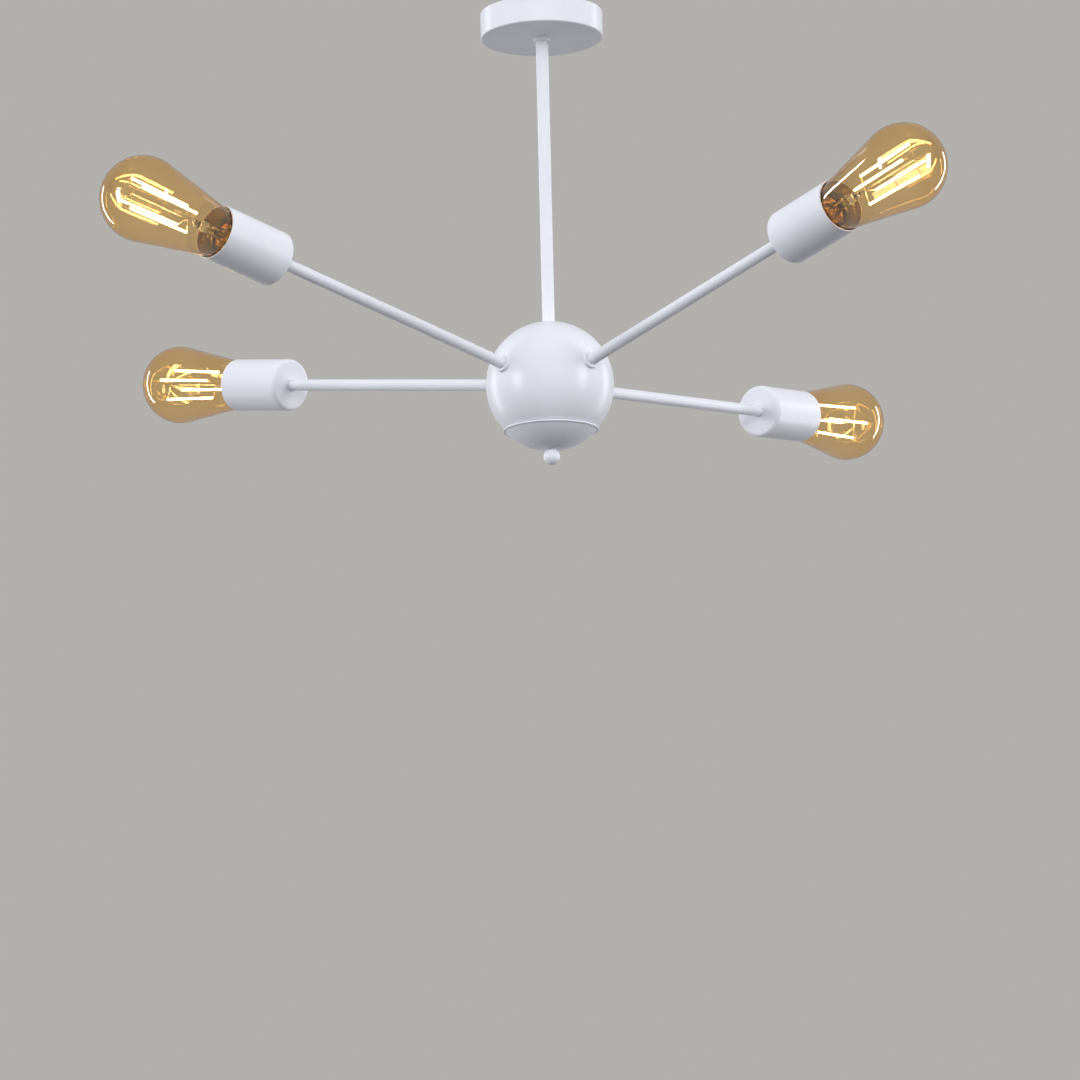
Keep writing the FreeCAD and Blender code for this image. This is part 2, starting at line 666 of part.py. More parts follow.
def make_arms():
    """Four arm tubes, the ring that each one wears on the ball, its nut inside, and its two leads."""
    rings = []
    nuts = []
    leads = []
    for arm in ARMS:
        tube = cylinder("tube_outside_" + arm, "arm_radius", "arm_end - arm_start")
        bore = cylinder("tube_bore_" + arm, "arm_bore_radius", "arm_end - arm_start")
        for piece in (tube, bore):
            piece.setExpression("Placement.Base.z", bound("arm_start"))
        keep(cut("tube_" + arm, tube, [bore]), "arm_tube_" + arm)
        place_on_arm(parts[-1], arm)
        ring = turned("ring_" + arm, [
            ("arm_hole_radius", "upper"),
            ("arm_ring_radius", "upper"),
            ("arm_ring_radius", "arm_ring_top"),
            ("arm_hole_radius", "arm_ring_top"),
        ], {0: ("0", "arm_ring_seat")})
        soften(ring, "arm_ring_round", "arm_ring_radius", "arm_ring_top")
        place_on_arm(ring, arm)
        rings.append(ring)
        nut = hex_nut("arm_nut_" + arm, "nut_across_flats", "nut_height", "arm_hole_radius")
        for piece in (nut.Base, nut.Tool):
            piece.setExpression("Placement.Base.z", bound("arm_nut_top - nut_height"))
        place_on_arm(nut, arm)
        nuts.append(nut)
        start = "(hub_terminal_radius + lead_radius) / cos(tilt_%s) + seat_clearance" % arm
        for side, sign in (("left", "-"), ("right", "")):
            length = "holder_floor - lead_inset - (%s)" % start
            lead = cylinder("lead_%s_%s" % (side, arm), "lead_radius", length)
            lead.setExpression("Placement.Base.z", bound(start))
            lead.setExpression("Placement.Base.y", bound(sign + "lead_offset"))
            leads.append((lead, arm))
    keep(group("arm_rings", rings), "arm_rings")
    keep(group("arm_nuts", nuts), "arm_nuts")
    pairs = []
    for arm in ARMS:
        pair = group("lead_pair_" + arm, [lead for lead, owner in leads if owner == arm])
        place_on_arm(pair, arm)
        pairs.append(pair)
    keep(group("arm_lead_set", pairs), "arm_leads")


def make_lampholders():
    """For each arm the metal cover, the nut that clamps it, and the lampholder with its live parts."""
    nuts = []
    shells = []
    contacts = []
    for arm in ARMS:
        cover = turned("cover_" + arm, [
            ("arm_hole_radius", "arm_reach"),
            ("cover_radius", "arm_reach"),
            ("cover_radius", "cover_rim"),
            ("cover_inner_radius", "cover_rim"),
            ("cover_inner_radius", "cover_floor_top"),
            ("arm_hole_radius", "cover_floor_top"),
        ])
        soften(cover, "cover_edge_round", "cover_radius", "arm_reach")
        keep(cover, "socket_cover_" + arm)
        nut = hex_nut("cover_nut_" + arm, "nut_across_flats", "cover_nut_height", "arm_hole_radius")
        for piece in (nut.Base, nut.Tool):
            piece.setExpression("Placement.Base.z", bound("cover_floor_top + seat_clearance"))
        nuts.append(nut)
        holder = turned("holder_" + arm, [
            ("arm_hole_radius", "holder_start"),
            ("holder_base_radius", "holder_start"),
            ("holder_radius", "holder_waist"),
            ("holder_radius", "holder_top"),
            ("holder_cavity_radius", "holder_top"),
            ("holder_cavity_radius", "holder_floor"),
            ("holder_passage_radius", "holder_floor"),
            ("holder_passage_radius", "holder_entry_top"),
            ("arm_hole_radius", "holder_entry_top"),
        ])
        keep(holder, "lampholder_" + arm)
        shell = turned("shell_" + arm, [
            ("shell_radius", "shell_start"),
            ("shell_outer_radius", "shell_start"),
            ("shell_outer_radius", "shell_top"),
            ("shell_radius", "shell_top"),
        ])
        shells.append(shell)
        strip = folded("contact_" + arm, [
            ("-contact_foot_reach", "0"),
            ("-contact_foot_start", "0"),
            ("-contact_bend_reach", "contact_rise"),
            ("contact_tip_reach", "contact_rise"),
            ("contact_tip_reach", "contact_top"),
            ("-contact_bend_reach", "contact_top"),
            ("-contact_foot_start", "contact_sheet"),
            ("-contact_foot_reach", "contact_sheet"),
        ], "contact_width")
        for piece in (cover, nut, holder, shell):
            place_on_arm(piece, arm)
        step = "(holder_floor + seat_clearance)"
        along = "%s * cos(tilt_%s)" % (step, arm)
        place(strip, "%s * cos(azimuth_%s)" % (along, arm), "%s * sin(azimuth_%s)" % (along, arm),
              "%s * sin(tilt_%s) - hub_drop" % (step, arm), "azimuth_" + arm, "90 - tilt_" + arm)
        contacts.append(strip)
    keep(group("cover_nuts", nuts), "cover_nuts")
    keep(group("screw_shells", shells), "screw_shells")
    keep(group("lampholder_contacts", contacts), "lampholder_contacts")


def glass_skin(wall):
    """The edges of the bulb's half outline, set inwards by a wall: a straight neck, a smooth shoulder, a
    straight cone, and the ball-shaped tip that the cone runs into without a corner."""
    ball = value("glass_radius") - wall
    centre = value("cover_rim") + value("glass_widest_beyond_rim")
    lean = math.radians(value("glass_cone_angle"))
    uphill = FreeCAD.Vector(math.sin(lean), 0, math.cos(lean))
    touch = FreeCAD.Vector(ball * math.cos(lean), 0, centre - ball * math.sin(lean))
    cone_foot = value("cover_rim") - value("glass_shoulder_inset")
    shoulder_top = touch - uphill * ((touch.z - cone_foot) / uphill.z)
    neck = value("glass_neck_radius") - wall
    neck_top = FreeCAD.Vector(neck, 0, value("cap_top"))
    neck_foot = neck_top - FreeCAD.Vector(0, 0, value("glass_in_cap"))
    pull = value("glass_shoulder_pull")
    shoulder = Part.BezierCurve()
    shoulder.setPoles([
        neck_top,
        neck_top + FreeCAD.Vector(0, 0, pull),
        shoulder_top - uphill * pull,
        shoulder_top,
    ])
    slant = math.sqrt(0.5) * ball
    tip = Part.Arc(touch, FreeCAD.Vector(slant, 0, centre + slant), FreeCAD.Vector(0, 0, centre + ball))
    curves = (Part.LineSegment(neck_foot, neck_top), shoulder, Part.LineSegment(shoulder_top, touch), tip)
    return [curve.toShape() for curve in curves]


def make_glass(arm):
    """The bulb's thin pear-shaped glass, turned from its outline."""
    outside = glass_skin(0)
    inside = glass_skin(value("glass_wall"))
    closers = [
        Part.LineSegment(outside[end].Vertexes[end].Point, inside[end].Vertexes[end].Point).toShape()
        for end in (0, -1)
    ]
    section = Part.Face(Part.Wire(Part.sortEdges(outside + inside + closers)[0]))
    piece = doc.addObject("Part::Feature", "glass_" + arm)
    piece.Shape = section.revolve(FreeCAD.Vector(0, 0, 0), FreeCAD.Vector(0, 0, 1), 360)
    place_on_arm(piece, arm)
    keep(piece, "bulb_glass_" + arm)


def make_filaments(arm):
    """Four straight filaments that lean outwards, held by a wire cross at each end and a middle wire."""
    rods = []
    wires = []
    middle = cylinder("middle_wire_" + arm, "support_wire_radius", "filament_top - mount_top")
    middle.setExpression("Placement.Base.z", bound("mount_top"))
    wires.append(middle)
    for quarter in range(4):
        turn = "(filament_turn + %d)" % (90 * quarter)
        rod = cylinder("filament_%d_%s" % (quarter + 1, arm), "filament_radius",
                       "(filament_length - 2 * support_wire_radius - 2 * filament_gap) / cos(filament_lean)"
                       " - 2 * filament_radius * tan(filament_lean)")
        spread = "(filament_base_spread + support_wire_radius * tan(filament_lean))"
        place(rod, "%s * cos(%s)" % (spread, turn), "%s * sin(%s)" % (spread, turn),
              "filament_base + support_wire_radius + filament_gap + filament_radius * tan(filament_lean)",
              turn, "filament_lean")
        rods.append(rod)
        for level in ("base", "top"):
            spoke = cylinder("spoke_%s_%d_%s" % (level, quarter + 1, arm), "support_wire_radius",
                             "filament_%s_spread + filament_radius" % level)
            place(spoke, up="filament_" + level, yaw=turn, pitch="90")
            wires.append(spoke)
    filaments = group("filaments_" + arm, rods)
    place_on_arm(filaments, arm)
    keep(filaments, "bulb_filaments_" + arm)
    supports = doc.addObject("Part::MultiFuse", "supports_" + arm)
    supports.Shapes = wires
    place_on_arm(supports, arm)
    keep(supports, "bulb_supports_" + arm)


def make_bulbs():
    """For each arm the screw cap, its insulated contact, the glass and what the glass holds."""
    for arm in ARMS:
        cap = turned("screw_cap_" + arm, [
            ("eyelet_radius", "cap_bottom"),
            ("screw_cap_radius", "cap_shoulder"),
            ("screw_cap_radius", "cap_top"),
            ("cap_inner_radius", "cap_top"),
            ("cap_inner_radius", "cap_inner_shoulder"),
            ("eyelet_radius", "cap_floor_top"),
        ])
        place_on_arm(cap, arm)
        keep(cap, "bulb_cap_" + arm)
        contact = turned("eyelet_" + arm, [
            ("0", "bulb_seat"),
            ("button_radius", "bulb_seat"),
            ("button_radius", "button_top"),
            ("eyelet_radius", "cap_bottom"),
            ("eyelet_radius", "cap_floor_top"),
            ("0", "cap_floor_top"),
        ])
        place_on_arm(contact, arm)
        keep(contact, "bulb_contact_" + arm)
        make_glass(arm)
        mount = turned("mount_" + arm, [
            ("0", "mount_foot"),
            ("mount_foot_radius", "mount_foot"),
            ("mount_foot_radius", "mount_foot_top"),
            ("mount_middle_radius", "mount_flare_middle"),
            ("mount_stem_radius", "mount_flare_top"),
            ("mount_stem_radius", "mount_top"),
            ("0", "mount_top"),
        ])
        place_on_arm(mount, arm)
        keep(mount, "bulb_mount_" + arm)
        make_filaments(arm)


def write_parts():
    """Check every object and sub-part, then write one file for each node."""
    doc.recompute()
    faults = [thing.Name for thing in doc.Objects if {"Invalid", "Error"} & set(thing.State)]
    for piece in parts:
        if piece.Shape.isNull() or not piece.Shape.isValid() or not piece.Shape.Solids:
            faults.append(piece.Label)
    if faults:
        print("failed:", ", ".join(faults))
        sys.exit(1)
    os.makedirs("parts", exist_ok=True)
    for piece in parts:
        piece.Shape.exportStep("parts/%s.step" % piece.Label)
    print(len(parts), "sub-parts,", sum(len(piece.Shape.Solids) for piece in parts), "solids")


make_bracket()
make_stem()
make_canopy()
make_terminals()
make_hub()
make_hub_cap()
make_hub_inside()
make_stem_leads()
make_arms()
make_lampholders()
make_bulbs()
write_parts()
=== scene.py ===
import json
import math

import bmesh
import bpy
from mathutils import Matrix, Vector


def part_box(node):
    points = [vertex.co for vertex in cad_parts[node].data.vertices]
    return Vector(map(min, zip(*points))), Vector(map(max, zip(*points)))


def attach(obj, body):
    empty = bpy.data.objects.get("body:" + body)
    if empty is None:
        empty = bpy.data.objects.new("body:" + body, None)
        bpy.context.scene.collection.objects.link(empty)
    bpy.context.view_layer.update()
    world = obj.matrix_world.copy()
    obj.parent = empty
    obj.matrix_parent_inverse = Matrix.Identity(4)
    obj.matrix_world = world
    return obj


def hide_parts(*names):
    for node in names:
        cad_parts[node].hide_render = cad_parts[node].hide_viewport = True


# The looks of a four-arm sputnik ceiling light, in metres. +Z is up, the origin is on the ceiling plane, and
# the camera looks along +Y. Pieces on an arm are drawn along Z from the hub's centre and turned to its arm.

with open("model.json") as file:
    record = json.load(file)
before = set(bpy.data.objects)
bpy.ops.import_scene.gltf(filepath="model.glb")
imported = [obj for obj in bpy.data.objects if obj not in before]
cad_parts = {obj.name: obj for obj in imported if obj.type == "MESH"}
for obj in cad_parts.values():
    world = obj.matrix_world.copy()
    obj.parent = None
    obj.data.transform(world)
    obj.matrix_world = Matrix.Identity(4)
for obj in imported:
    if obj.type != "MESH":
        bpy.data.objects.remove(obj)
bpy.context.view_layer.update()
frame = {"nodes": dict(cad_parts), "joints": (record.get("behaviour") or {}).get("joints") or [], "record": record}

ARMS = ("front_left", "front_right", "back_right", "back_left")
SEAM_DEPTH = 0.036
COVER_RIM = 0.353
BULB_SEAT = COVER_RIM - 0.038

# the glass bulb, measured along its arm from the hub's centre
GLASS_RADIUS = 0.0328
GLASS_WALL = 0.0005
GLASS_CENTRE = COVER_RIM + 0.0705
GLASS_AT_RIM = 0.0198
GLASS_NECK = 0.0122
GLASS_IN_CAP = 0.006
GLASS_SHOULDER_INSET = 0.0015
GLASS_SHOULDER_PULL = 0.005

# the bulb's screw cap
CAP_RADIUS = 0.01305
CAP_SHEET = 0.0006
CAP_CONE_START = BULB_SEAT + 0.003
CAP_CONE_TOP = CAP_CONE_START + 0.004
CAP_TOP = BULB_SEAT + 0.0265
CAP_PLAIN_COLLAR = 0.0035
CAP_EDGE = 0.0003
CAP_CORNER = 0.0004
EYELET_RADIUS = 0.006

# the hollow glass mount inside the bulb
MOUNT_INSET = 0.003
MOUNT_FOOT_RADIUS = 0.011
MOUNT_TUBE_RADIUS = 0.004
MOUNT_TIP_RADIUS = 0.6 * MOUNT_TUBE_RADIUS
MOUNT_BELL = 0.014
MOUNT_WALL = 0.0008
MOUNT_TOP = COVER_RIM + 0.022

# the shell that takes the cap, and the rolled threads of both
SHELL_OUTER = 0.01385
SHELL_SHEET = 0.0002
SHELL_START = 0.3177
SHELL_FINISH = COVER_RIM - 0.0129
THREAD_PITCH = 0.00363
THREAD_RUN_IN = 0.001
CAP_THREAD_DEPTH = 0.0006
SHELL_THREAD_DEPTH = 0.0002

# how finely round and curved stretches are divided, and the least angle, in degrees, that shows as an edge
SEGMENTS = 96
ROWS_PER_TURN = 12
SHOULDER_STEPS = 12
CONE_STEPS = 6
BALL_STEPS = 28
MOUNT_STEPS = 8
POINT_RADIUS = 1e-7
NODE_EDGE = 32
CAP_EDGE_ANGLE = 40
SHELL_EDGE_ANGLE = 50

# the light: its tint, and the bright band round the horizon as heights from 0 (below) to 1 (above) and levels
COOL = (0.935, 0.945, 1.0)
BAND = 1.12
BAND_LEVELS = ((0.465, 0.03), (0.51, 1.0), (0.70, 1.0), (0.80, 0.45))

# the stage: what the camera, mirrors and glass see of it, and the floor's shade for scattered light
BACKGROUND_SEEN = (0.448, 0.436, 0.418)
FLOOR_SEEN = (0.62, 0.61, 0.60)
FLOOR_SCATTERED = (0.06, 0.06, 0.06)
FLOOR_DROP = 3.4
FLOOR_REACH = 40.0

hub_low, hub_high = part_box("hub_shell")
HUB_CENTRE = Vector(((hub_low.x + hub_high.x) / 2, (hub_low.y + hub_high.y) / 2, hub_low.z + SEAM_DEPTH))
AXES = {joint["name"][len("bulb_"):-len("_out")]: Vector(joint["axis"])
        for joint in frame["joints"] if joint["name"].endswith("_out")}


def arm_matrix(arm):
    """From a piece drawn along Z to its place on an arm; X then points down and Y stays level."""
    along = AXES[arm].normalized()
    level = Vector((0, 0, 1)).cross(along).normalized()
    down = level.cross(along)
    turn = Matrix((down, level, along)).transposed().to_4x4()
    return Matrix.Translation(HUB_CENTRE) @ turn


# ---------------------------------------------------------------- materials

# the middle part of a noise pattern, which is spread over a whole range of values or tints
PATTERN_LOW = 0.3
PATTERN_HIGH = 0.7
TINT_LOW = 0.35
TINT_HIGH = 0.65


def new_material(name):
    """A new material, its node tree and its shader."""
    material = bpy.data.materials.new(name)
    material.use_nodes = True
    tree = material.node_tree
    return material, tree, tree.nodes["Principled BSDF"]


def add_noise(tree, scale, detail):
    """A noise pattern fixed to the object, in features per metre."""
    place = tree.nodes.new("ShaderNodeTexCoord")
    noise = tree.nodes.new("ShaderNodeTexNoise")
    noise.inputs["Scale"].default_value = scale
    noise.inputs["Detail"].default_value = detail
    tree.links.new(place.outputs["Object"], noise.inputs["Vector"])
    return noise.outputs["Fac"]


def spread(tree, fac, low, high, socket):
    """Map a pattern to a range of values."""
    change = tree.nodes.new("ShaderNodeMapRange")
    change.inputs["From Min"].default_value = PATTERN_LOW
    change.inputs["From Max"].default_value = PATTERN_HIGH
    change.inputs["To Min"].default_value = low
    change.inputs["To Max"].default_value = high
    tree.links.new(fac, change.inputs["Value"])
    tree.links.new(change.outputs["Result"], socket)


def tint(tree, fac, first, second, socket):
    """Blend two colours by a pattern."""
    ramp = tree.nodes.new("ShaderNodeValToRGB")
    ramp.color_ramp.elements[0].position = TINT_LOW
    ramp.color_ramp.elements[1].position = TINT_HIGH
    ramp.color_ramp.elements[0].color = (*first, 1)
    ramp.color_ramp.elements[1].color = (*second, 1)
    tree.links.new(fac, ramp.inputs["Fac"])
    tree.links.new(ramp.outputs["Color"], socket)


def bump(tree, fac, shader, strength, distance):
    """Raise a surface by a pattern."""
    node = tree.nodes.new("ShaderNodeBump")
    node.inputs["Strength"].default_value = strength
    node.inputs["Distance"].default_value = distance
    tree.links.new(fac, node.inputs["Height"])
    tree.links.new(node.outputs["Normal"], shader.inputs["Normal"])


def coated(name, first, second, smooth, rough):
    """Satin powder coat: faint orange peel, slightly uneven gloss and shade."""
    material, tree, shader = new_material(name)
    broad = add_noise(tree, scale=18, detail=3)
    peel = add_noise(tree, scale=700, detail=2)
    tint(tree, broad, first, second, shader.inputs["Base Color"])
    spread(tree, broad, smooth, rough, shader.inputs["Roughness"])
    bump(tree, peel, shader, strength=0.12, distance=0.0002)
    shader.inputs["IOR"].default_value = 1.5
    return material


def metal(name, first, second, smooth, rough):
    """Plain metal with fine marks and a slightly uneven finish."""
    material, tree, shader = new_material(name)
    marks = add_noise(tree, scale=420, detail=4)
    tint(tree, marks, first, second, shader.inputs["Base Color"])
    spread(tree, marks, smooth, rough, shader.inputs["Roughness"])
    bump(tree, marks, shader, strength=0.08, distance=0.0001)
    shader.inputs["Metallic"].default_value = 1
    return material


def moulded(name, first, second, roughness):
    """Moulded plastic with a fine grain."""
    material, tree, shader = new_material(name)
    grain = add_noise(tree, scale=900, detail=3)
    uneven = 0.05
    tint(tree, grain, first, second, shader.inputs["Base Color"])
    spread(tree, grain, roughness - uneven, roughness + uneven, shader.inputs["Roughness"])
    bump(tree, grain, shader, strength=0.15, distance=0.0002)
    return material


def tinted_glass(name, colour, absorbed=None, density=0, lustre=0):
    """Smooth glass; with a density its colour deepens with its thickness, and the lustre is a shiny coat."""
    material, tree, shader = new_material(name)
    shader.inputs["Base Color"].default_value = (*colour, 1)
    shader.inputs["Roughness"].default_value = 0.0
    shader.inputs["IOR"].default_value = 1.45
    shader.inputs["Coat Weight"].default_value = lustre
    shader.inputs["Coat IOR"].default_value = 2.0
    shader.inputs["Transmission Weight"].default_value = 1.0
    if density:
        inside = tree.nodes.new("ShaderNodeVolumeAbsorption")
        inside.inputs["Color"].default_value = (*absorbed, 1)
        inside.inputs["Density"].default_value = density
        tree.links.new(inside.outputs["Volume"], tree.nodes["Material Output"].inputs["Volume"])
    return material


def glowing(name, colour, dimmest, brightest):
    """A lit surface whose brightness varies a little along it."""
    material, tree, shader = new_material(name)
    grain = add_noise(tree, scale=600, detail=2)
    shader.inputs["Base Color"].default_value = (*colour, 1)
    shader.inputs["Emission Color"].default_value = (*colour, 1)
    shader.inputs["Roughness"].default_value = 0.6
    spread(tree, grain, dimmest, brightest, shader.inputs["Emission Strength"])
    return material


WHITE = coated("white_coat", (0.80, 0.815, 0.85), (0.83, 0.84, 0.87), smooth=0.28, rough=0.34)
STEEL = metal("plated_steel", (0.55, 0.55, 0.54), (0.68, 0.68, 0.66), smooth=0.25, rough=0.4)
BRASS = metal("cap_brass", (0.72, 0.53, 0.24), (0.83, 0.66, 0.36), smooth=0.18, rough=0.32)
WIRE = metal("support_wire", (0.60, 0.55, 0.48), (0.74, 0.70, 0.62), smooth=0.2, rough=0.3)
TERMINAL = moulded("terminal_plastic", (0.80, 0.78, 0.72), (0.86, 0.84, 0.79), roughness=0.5)
HOLDER = moulded("holder_plastic", (0.03, 0.03, 0.032), (0.05, 0.05, 0.052), roughness=0.45)
LEAD = moulded("lead_insulation", (0.75, 0.74, 0.72), (0.82, 0.81, 0.79), roughness=0.45)
BLACK_GLASS = moulded("black_glass", (0.015, 0.015, 0.018), (0.03, 0.03, 0.034), roughness=0.15)
AMBER = tinted_glass("amber_glass", (1.0, 1.0, 0.99), absorbed=(0.965, 0.69, 0.03), density=1260, lustre=0.35)
CLEAR = tinted_glass("clear_glass", (0.98, 0.97, 0.95))
FILAMENT = glowing("filament", (1.0, 0.80, 0.45), dimmest=64, brightest=96)

SLOT_MATERIALS = {
    "white_coat": WHITE,
    "plated_steel": STEEL,
    "terminal_plastic": TERMINAL,
    "lead_insulation": LEAD,
    "holder_brass": BRASS,
    "holder_plastic": HOLDER,
    "cap_brass": BRASS,
    "black_glass": BLACK_GLASS,
    "amber_glass": AMBER,
    "clear_glass": CLEAR,
    "filament": FILAMENT,
    "support_wire": WIRE,
}


def dress_cad_nodes():
    """Give every CAD node the finish of its slot."""
    for entry in frame["record"]["subparts"]:
        node = frame["nodes"][entry["node"]]
        node.data.materials.clear()
        node.data.materials.append(SLOT_MATERIALS[entry["material_slot"]])
        node.data.shade_smooth()
        node.data.set_sharp_from_angle(angle=math.radians(NODE_EDGE))


# ---------------------------------------------------------------- pieces finer than the CAD nodes

def ring_mesh(name, rows):
    """A round mesh from rows, each a height and one radius for each segment; the last row joins the first."""
    builder = bmesh.new()
    rings = []
    for height, radii in rows:
        if max(radii) < POINT_RADIUS:
            rings.append([builder.verts.new((0, 0, height))])
            continue
        ring = []
        for i, radius in enumerate(radii):
            angle = 2 * math.pi * i / SEGMENTS
            ring.append(builder.verts.new((radius * math.cos(angle), radius * math.sin(angle), height)))
        rings.append(ring)
    for first, second in zip(rings, rings[1:] + rings[:1]):
        if len(first) == len(second) == 1:
            continue
        for i in range(SEGMENTS):
            k = (i + 1) % SEGMENTS
            corners = (first[i % len(first)], first[k % len(first)],
                       second[k % len(second)], second[i % len(second)])
            builder.faces.new(list(dict.fromkeys(corners)))
    bmesh.ops.recalc_face_normals(builder, faces=builder.faces)
    mesh = bpy.data.meshes.new(name)
    builder.to_mesh(mesh)
    builder.free()
    mesh.shade_smooth()
    return mesh


def even(profile):
    """Rows of a turned piece from (radius, height) points."""
    return [(height, [radius] * SEGMENTS) for radius, height in profile]


def quarter_turn(steps):
    """Angles from 0 to a right angle."""
    return [math.pi / 2 * i / steps for i in range(steps + 1)]


def add_piece(name, mesh, node, slot, body):
    """Put a mesh in the scene in place of a CAD node."""
    mesh.materials.append(SLOT_MATERIALS[slot])
    piece = bpy.data.objects.new(name, mesh)
    bpy.context.scene.collection.objects.link(piece)
    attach(piece, body)
    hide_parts(node)


def add_bulb_piece(name, mesh, arm, node, slot):
    """Stand a piece of a bulb on its arm, in place of the arm's own CAD node."""
    mesh.transform(arm_matrix(arm))
    add_piece(name + "_" + arm, mesh, node + "_" + arm, slot, "bulb_" + arm)


def glass_profile(wall):
    """The bulb's half outline from neck to tip: neck, shoulder, straight cone and ball."""
    ball = GLASS_RADIUS - wall
    reach = GLASS_CENTRE - COVER_RIM
    lean = math.asin(GLASS_RADIUS / math.hypot(reach, GLASS_AT_RIM)) - math.atan(GLASS_AT_RIM / reach)
    uphill = Vector((math.sin(lean), math.cos(lean)))
    touch = Vector((ball * math.cos(lean), GLASS_CENTRE - ball * math.sin(lean)))
    shoulder_top = touch - uphill * ((touch.y - COVER_RIM + GLASS_SHOULDER_INSET) / uphill.y)
    neck_top = Vector((GLASS_NECK - wall, CAP_TOP))
    poles = (neck_top, neck_top + Vector((0, GLASS_SHOULDER_PULL)),
             shoulder_top - uphill * GLASS_SHOULDER_PULL, shoulder_top)
    points = [neck_top - Vector((0, GLASS_IN_CAP))]
    for i in range(SHOULDER_STEPS + 1):
        t = i / SHOULDER_STEPS
        weights = ((1 - t) ** 3, 3 * t * (1 - t) ** 2, 3 * t * t * (1 - t), t ** 3)
        points.append(sum((pole * weight for pole, weight in zip(poles, weights)), Vector((0, 0))))
    points += [shoulder_top.lerp(touch, i / CONE_STEPS) for i in range(1, CONE_STEPS)]
    for i in range(BALL_STEPS + 1):
        angle = -lean + (math.pi / 2 + lean) * i / BALL_STEPS
        points.append(Vector((ball * math.cos(angle), GLASS_CENTRE + ball * math.sin(angle))))
    points[-1].x = 0
    return [tuple(point) for point in points]


def add_glass():
    """Thin pear-shaped glass."""
    rows = even(glass_profile(0) + glass_profile(GLASS_WALL)[::-1])
    for arm in ARMS:
        mesh = ring_mesh("glass_" + arm, rows)
        add_bulb_piece("glass", mesh, arm, "bulb_glass", "amber_glass")


def thread_rows(start, finish, crest, depth):
    """Rows of a rolled round thread between two heights, fading out at both ends."""
    rows = []
    count = round((finish - start) / THREAD_PITCH * ROWS_PER_TURN)
    for step in range(count + 1):
        height = start + (finish - start) * step / count
        fade = min(1, (height - start) / THREAD_RUN_IN, (finish - height) / THREAD_RUN_IN)
        radii = []
        for i in range(SEGMENTS):
            wave = 0.5 - 0.5 * math.cos(2 * math.pi * (height / THREAD_PITCH - i / SEGMENTS))
            radii.append(crest - depth * fade * wave)
        rows.append((height, radii))
    return rows


def cap_rows():
    """Rows of the screw cap: cone, rolled thread and lip outside, then plain sheet inside."""
    thread_end = CAP_TOP - CAP_PLAIN_COLLAR
    rows = even([(EYELET_RADIUS, CAP_CONE_START), (CAP_RADIUS - CAP_CORNER, CAP_CONE_TOP - CAP_EDGE)])
    rows += thread_rows(CAP_CONE_TOP, thread_end, CAP_RADIUS, CAP_THREAD_DEPTH)
    rows += even([
        (CAP_RADIUS, CAP_TOP - CAP_EDGE),
        (CAP_RADIUS - CAP_EDGE, CAP_TOP),
        (CAP_RADIUS - CAP_SHEET, CAP_TOP),
        (CAP_RADIUS - 2 * CAP_SHEET, thread_end),
        (CAP_RADIUS - 2 * CAP_SHEET, CAP_CONE_TOP + CAP_SHEET),
        (EYELET_RADIUS, CAP_CONE_START + CAP_SHEET),
    ])
    return rows


def add_bulb_caps():
    """The screw caps with their rolled thread."""
    rows = cap_rows()
    for arm in ARMS:
        mesh = ring_mesh("screw_cap_" + arm, rows)
        mesh.set_sharp_from_angle(angle=math.radians(CAP_EDGE_ANGLE))
        add_bulb_piece("screw_cap", mesh, arm, "bulb_cap", "cap_brass")


def mount_profile():
    """The hollow glass flare that carries the filaments: bell foot, tube, narrower neck and round tip."""
    foot = CAP_TOP - MOUNT_INSET
    bell = MOUNT_FOOT_RADIUS - MOUNT_TUBE_RADIUS
    tip = MOUNT_TIP_RADIUS
    outer = [(MOUNT_FOOT_RADIUS - bell * math.sin(angle), foot + MOUNT_BELL * (1 - math.cos(angle)))
             for angle in quarter_turn(MOUNT_STEPS)]
    outer += [(MOUNT_TUBE_RADIUS, MOUNT_TOP - 4 * tip), (tip, MOUNT_TOP - 2 * tip)]
    inner = [(radius - MOUNT_WALL, height + MOUNT_WALL) for radius, height in outer[:-1]]
    inner.append((0, inner[-1][1] + MOUNT_TUBE_RADIUS / 2))
    outer += [(tip * math.cos(angle), MOUNT_TOP - tip + tip * math.sin(angle))
              for angle in quarter_turn(MOUNT_STEPS)]
    outer[-1] = (0, MOUNT_TOP)
    return outer + inner[::-1]


def add_mounts():
    """The clear glass mount inside each bulb."""
    rows = even(mount_profile())
    for arm in ARMS:
        mesh = ring_mesh("mount_" + arm, rows)
        add_bulb_piece("mount", mesh, arm, "bulb_mount", "clear_glass")


def add_screw_shells():
    """The rolled screw shells inside the lampholders, all four in one piece."""
    outside = thread_rows(SHELL_START, SHELL_FINISH, SHELL_OUTER, SHELL_THREAD_DEPTH)
    inside = thread_rows(SHELL_START, SHELL_FINISH, SHELL_OUTER - SHELL_SHEET, SHELL_THREAD_DEPTH)
    whole = bmesh.new()
    for arm in ARMS:
        mesh = ring_mesh("shell_" + arm, outside + inside[::-1])
        mesh.transform(arm_matrix(arm))
        whole.from_mesh(mesh)
        bpy.data.meshes.remove(mesh)
    mesh = bpy.data.meshes.new("threaded_shells")
    whole.to_mesh(mesh)
    whole.free()
    mesh.shade_smooth()
    mesh.set_sharp_from_angle(angle=math.radians(SHELL_EDGE_ANGLE))
    add_piece("threaded_shells", mesh, "screw_shells", "holder_brass", "fixture")


# ---------------------------------------------------------------- camera, light and stage

